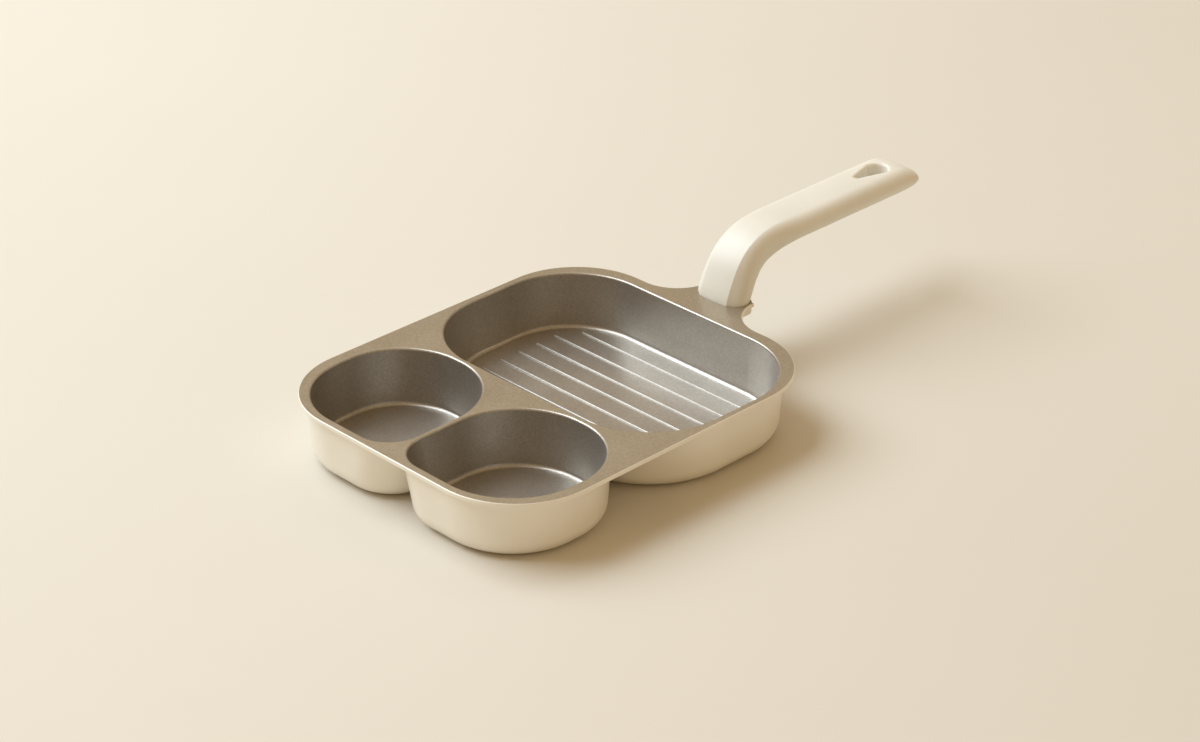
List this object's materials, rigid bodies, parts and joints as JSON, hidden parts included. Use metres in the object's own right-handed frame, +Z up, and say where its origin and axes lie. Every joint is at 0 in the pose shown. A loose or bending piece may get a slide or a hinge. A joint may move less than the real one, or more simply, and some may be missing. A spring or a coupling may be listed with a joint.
{
  "type": "divided frying pan",
  "caption": "Cast frying pan with two small wells and one wide ribbed well under a common rim, and a bent moulded handle with a hanging hole.",
  "frame": {"origin": "on the plane that the pan stands on, under the centre of the rim plate, at the middle of its 190 mm width and of its 230.4 mm length", "axes": "+Z up, +Y from the small wells towards the handle, +X to the right seen from the small wells"},
  "size_m": [0.19, 0.3982, 0.0733],
  "materials": {
    "coated_casting": "die-cast, with a metallic taupe non-stick coat inside and cream enamel paint outside",
    "handle_moulding": "cream phenolic moulding, smooth satin",
    "steel_fixings": "plain stainless steel",
    "brass_inserts": "turned brass"
  },
  "bodies": {
    "root": {"pan_body": "coated_casting", "handle_grip": "handle_moulding", "handle_screws": "steel_fixings", "spring_washers": "steel_fixings", "threaded_inserts": "brass_inserts"}
  },
  "joints": []
}
